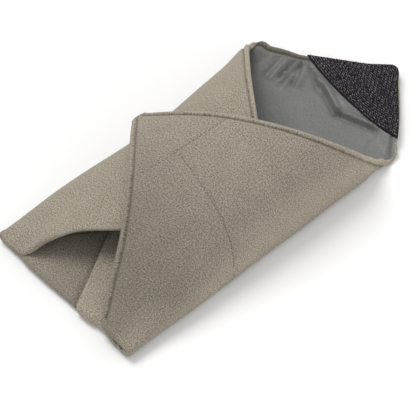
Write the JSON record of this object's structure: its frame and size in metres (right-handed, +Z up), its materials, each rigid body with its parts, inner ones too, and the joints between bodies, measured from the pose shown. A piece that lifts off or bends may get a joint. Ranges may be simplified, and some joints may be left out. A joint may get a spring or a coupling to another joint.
{
  "type": "camera wrap",
  "caption": "Square of padded, fleece-faced cloth folded corner by corner into a bundle with an open mouth, closed by hook tape on its corners.",
  "frame": {"origin": "centre of the base's underside, on the surface that the bundle rests on", "axes": "+Y out of the open mouth, +X to the corner that is folded over last, +Z up"},
  "size_m": [0.12, 0.2658, 0.0686],
  "materials": {
    "fleece": "brushed loop fleece, taupe",
    "foam": "thin laminated padding, off-white",
    "lining": "smooth woven nylon, grey-green",
    "hook_tape": "black woven tape covered in small hooks"
  },
  "bodies": {
    "base": {"base_fleece": "fleece", "base_foam": "foam", "base_lining": "lining"},
    "north": {"north_fleece": "fleece", "north_foam": "foam", "north_lining": "lining", "north_welt": "fleece", "north_hook_tape": "hook_tape"},
    "east": {"east_fleece": "fleece", "east_foam": "foam", "east_lining": "lining", "east_welt": "fleece", "east_hook_tape": "hook_tape"},
    "west": {"west_fleece": "fleece", "west_foam": "foam", "west_lining": "lining", "west_welt": "fleece", "west_hook_tape": "hook_tape"},
    "south": {"south_fleece": "fleece", "south_foam": "foam", "south_lining": "lining", "south_welt": "fleece", "south_hook_tape": "hook_tape"}
  },
  "joints": [
    {"name": "north_fold", "type": "hinge", "parent": "base", "child": "north", "pos_m": [0, 0.107, 0.003], "axis": [1, 0, 0], "range_deg": [0, 115]},
    {"name": "east_fold", "type": "hinge", "parent": "base", "child": "east", "pos_m": [0.062, 0, 0.006], "axis": [0, 1, 0], "range_deg": [0, 105]},
    {"name": "west_fold", "type": "hinge", "parent": "base", "child": "west", "pos_m": [-0.058, -0.107, 0.006], "axis": [-0.0093, -1, 0], "range_deg": [0, 79]},
    {"name": "south_fold", "type": "hinge", "parent": "base", "child": "south", "pos_m": [0, -0.107, 0.0036], "axis": [1, 0, 0], "range_deg": [0, 53]}
  ],
  "couplings": [
    {"joint": "west_fold", "follows": "east_fold", "ratio": 0.75},
    {"joint": "south_fold", "follows": "east_fold", "ratio": 0.5}
  ]
}
